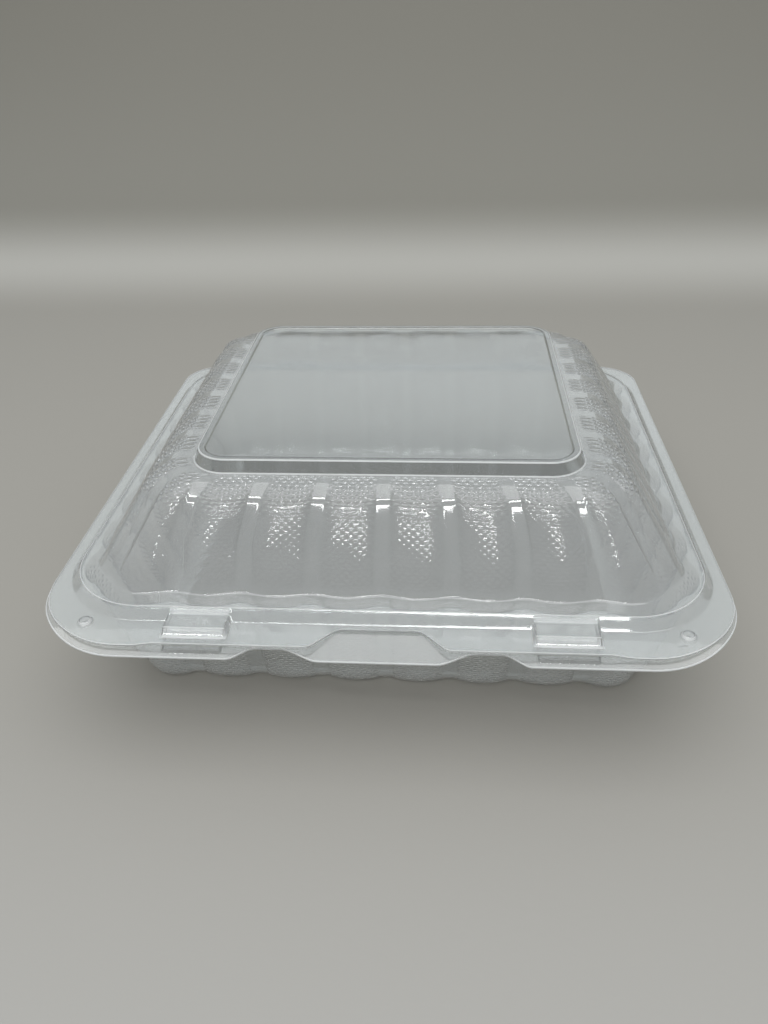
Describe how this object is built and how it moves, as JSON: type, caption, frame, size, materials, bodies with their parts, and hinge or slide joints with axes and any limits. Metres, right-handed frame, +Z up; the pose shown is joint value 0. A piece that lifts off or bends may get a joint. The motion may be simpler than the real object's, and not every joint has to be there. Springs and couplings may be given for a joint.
{
  "type": "hinged clear food pack",
  "caption": "Clear plastic clamshell food pack with a fluted tray and a fluted domed lid that folds over on a crease along the back.",
  "frame": {"origin": "on the floor, under the middle of the pack's bounding box", "axes": "+Z up; +X to the right seen from the front; -Y is the front, where the finger notch is; the fold line runs along X at the back"},
  "size_m": [0.23, 0.2228, 0.0805],
  "materials": {
    "clear_sheet": "clear glossy formed sheet, slightly milky"
  },
  "bodies": {
    "base": {"base_tray": "clear_sheet"},
    "lid": {"lid": "clear_sheet"}
  },
  "joints": [
    {"name": "lid_fold", "type": "hinge", "parent": "base", "child": "lid", "pos_m": [0, 0.1114, 0.042], "axis": [-1, 0, 0], "range_deg": [0, 180]}
  ]
}
